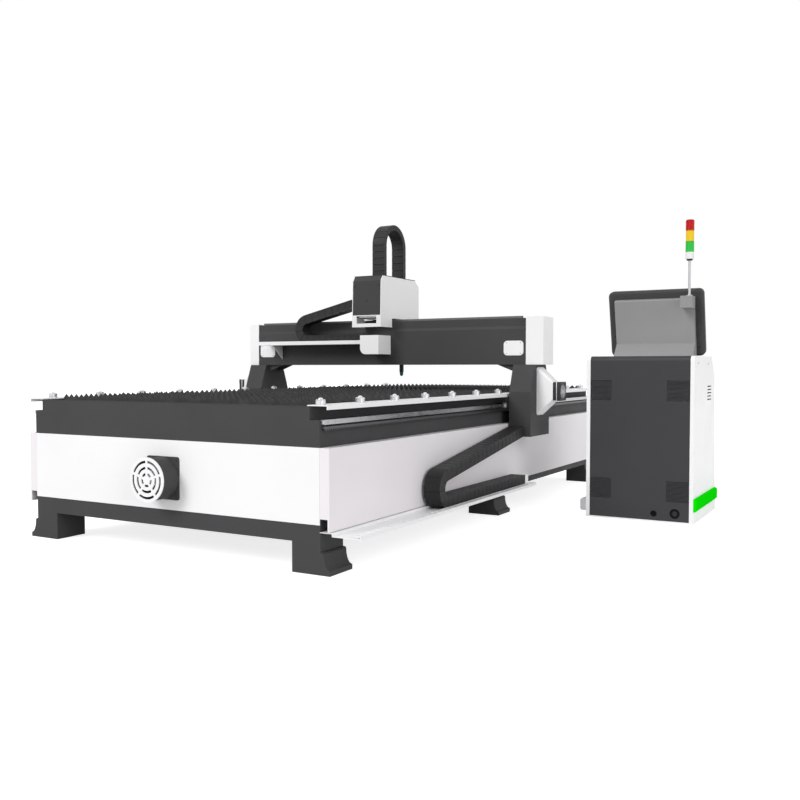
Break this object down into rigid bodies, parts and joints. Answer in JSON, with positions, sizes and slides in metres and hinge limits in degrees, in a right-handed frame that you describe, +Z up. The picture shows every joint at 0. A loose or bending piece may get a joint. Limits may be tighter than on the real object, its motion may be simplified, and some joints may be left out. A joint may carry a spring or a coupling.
{
  "type": "cnc plasma cutting table",
  "caption": "Plasma cutting table: slatted bed on legs, travelling gantry with torch lifter and drag chains, fume outlet, and a separate console with a screen hood and signal lamp.",
  "frame": {"origin": "centre of the floor rectangle that the whole machine covers, on the floor", "axes": "+X across the bed towards the console, +Y along the bed away from the fume outlet, +Z up"},
  "size_m": [3.707, 4.404, 2.0898],
  "materials": {
    "ball_chrome": "polished",
    "belt_rubber": "matt",
    "bumper_green": "moulded",
    "chain_plastic": "moulded",
    "dark_paint": "fine textured powder coat",
    "green_plastic": "moulded",
    "grey_paint": "satin powder coat",
    "ground_steel": "ground",
    "lamp_plastic": "translucent",
    "motor_black": "satin",
    "nozzle_teal": "moulded",
    "plate_aluminium": "milled",
    "red_plastic": "moulded",
    "screen_black": "gloss",
    "slat_steel": "mill scale and slag dust",
    "torch_plastic": "moulded",
    "white_paint": "smooth powder coat",
    "white_plastic": "moulded",
    "zinc_steel": "zinc plated"
  },
  "bodies": {
    "root": {"bed_frame": "dark_paint", "tank": "dark_paint", "slat_combs": "dark_paint", "slats": "slat_steel", "legs": "dark_paint", "lower_frame": "dark_paint", "end_panels": "white_paint", "side_covers": "white_paint", "ledges": "white_paint", "ball_cups": "zinc_steel", "transfer_balls": "ball_chrome", "y_rails": "ground_steel", "y_racks": "ground_steel", "chain_tray": "grey_paint", "exhaust_duct": "dark_paint", "exhaust_grille": "white_paint", "fan_motor": "motor_black", "y_chain": "chain_plastic", "console_body": "white_paint", "console_back": "dark_paint", "console_bumpers": "bumper_green", "control_rack": "zinc_steel", "hood_shell": "grey_paint", "hood_bezel": "dark_paint", "screen": "screen_black", "lamp_stem": "white_plastic", "lamp_lenses": "lamp_plastic"},
    "gantry": {"crossbeam": "dark_paint", "beam_caps": "white_paint", "columns": "dark_paint", "cover_plates": "white_paint", "x_rails": "ground_steel", "x_rack": "ground_steel", "x_chain_tray": "white_paint", "cable_box": "white_paint", "y_blocks": "ground_steel", "motor_cowls": "white_paint", "y_motors": "motor_black", "drive_belts": "belt_rubber", "x_chain": "chain_plastic"},
    "carriage": {"carriage_plate": "plate_aluminium", "carriage_shell": "white_paint", "carriage_cover": "dark_paint", "x_blocks": "ground_steel", "x_motor": "motor_black", "z_rails": "ground_steel", "z_motor": "motor_black", "z_chain": "chain_plastic"},
    "lifter": {"lifter_plate": "plate_aluminium", "torch_clamp": "plate_aluminium", "torch_body": "torch_plastic", "torch_nozzle": "nozzle_teal"},
    "fan": {"fan_impeller": "zinc_steel"},
    "pinion_shafts": {"y_pinions": "ground_steel"},
    "motor_shafts": {"motor_pulleys": "plate_aluminium"},
    "cross_pinion": {"x_pinion": "ground_steel"},
    "lift_screw": {"z_screw": "ground_steel"},
    "door": {"console_door": "white_paint"},
    "estop": {"estop_button": "red_plastic"},
    "start": {"start_button": "green_plastic"}
  },
  "joints": [
    {"name": "gantry_travel", "type": "slide", "parent": "root", "child": "gantry", "axis": [0, 1, 0], "range_m": [-1.85, 1.45], "deforming": ["y_chain"]},
    {"name": "carriage_travel", "type": "slide", "parent": "gantry", "child": "carriage", "axis": [1, 0, 0], "range_m": [-0.75, 0.8], "deforming": ["x_chain"]},
    {"name": "torch_lift", "type": "slide", "parent": "carriage", "child": "lifter", "axis": [0, 0, 1], "range_m": [-0.075, 0.095], "deforming": ["z_chain"]},
    {"name": "pinion_turn", "type": "hinge", "parent": "gantry", "child": "pinion_shafts", "pos_m": [-0.4535, 0.297, 0.667], "axis": [1, 0, 0], "range_deg": [-3060, 2400]},
    {"name": "motor_turn", "type": "hinge", "parent": "gantry", "child": "motor_shafts", "pos_m": [-0.4535, 0.297, 0.838], "axis": [1, 0, 0], "range_deg": [-6120, 4800]},
    {"name": "cross_pinion_turn", "type": "hinge", "parent": "carriage", "child": "cross_pinion", "pos_m": [-0.4805, 0.2698, 1.36], "axis": [0, 0, 1], "range_deg": [-1560, 1460]},
    {"name": "screw_turn", "type": "hinge", "parent": "carriage", "child": "lift_screw", "pos_m": [-0.4805, 0.451, 1.2], "axis": [0, 0, 1], "range_deg": [-2750, 3450]},
    {"name": "fan_turn", "type": "hinge", "parent": "root", "child": "fan", "pos_m": [-0.4535, -2.12, 0.413], "axis": [0, 1, 0], "continuous": true},
    {"name": "door_swing", "type": "hinge", "parent": "root", "child": "door", "pos_m": [1.1515, 0.91055, 0.95088], "axis": [0, -0.1029, 0.9947], "range_deg": [0, 100]},
    {"name": "estop_press", "type": "slide", "parent": "root", "child": "estop", "axis": [0, 0.7533, 0.6577], "range_m": [-0.006, 0]},
    {"name": "start_press", "type": "slide", "parent": "root", "child": "start", "axis": [0, 0.7533, 0.6577], "range_m": [-0.004, 0], "stiffness_N_per_m": 400}
  ],
  "couplings": [
    {"joint": "pinion_turn", "follows": "gantry_travel", "rad_per_m": 28.571},
    {"joint": "motor_turn", "follows": "gantry_travel", "rad_per_m": 57.143},
    {"joint": "cross_pinion_turn", "follows": "carriage_travel", "rad_per_m": -33.333},
    {"joint": "screw_turn", "follows": "torch_lift", "rad_per_m": 628.32}
  ]
}
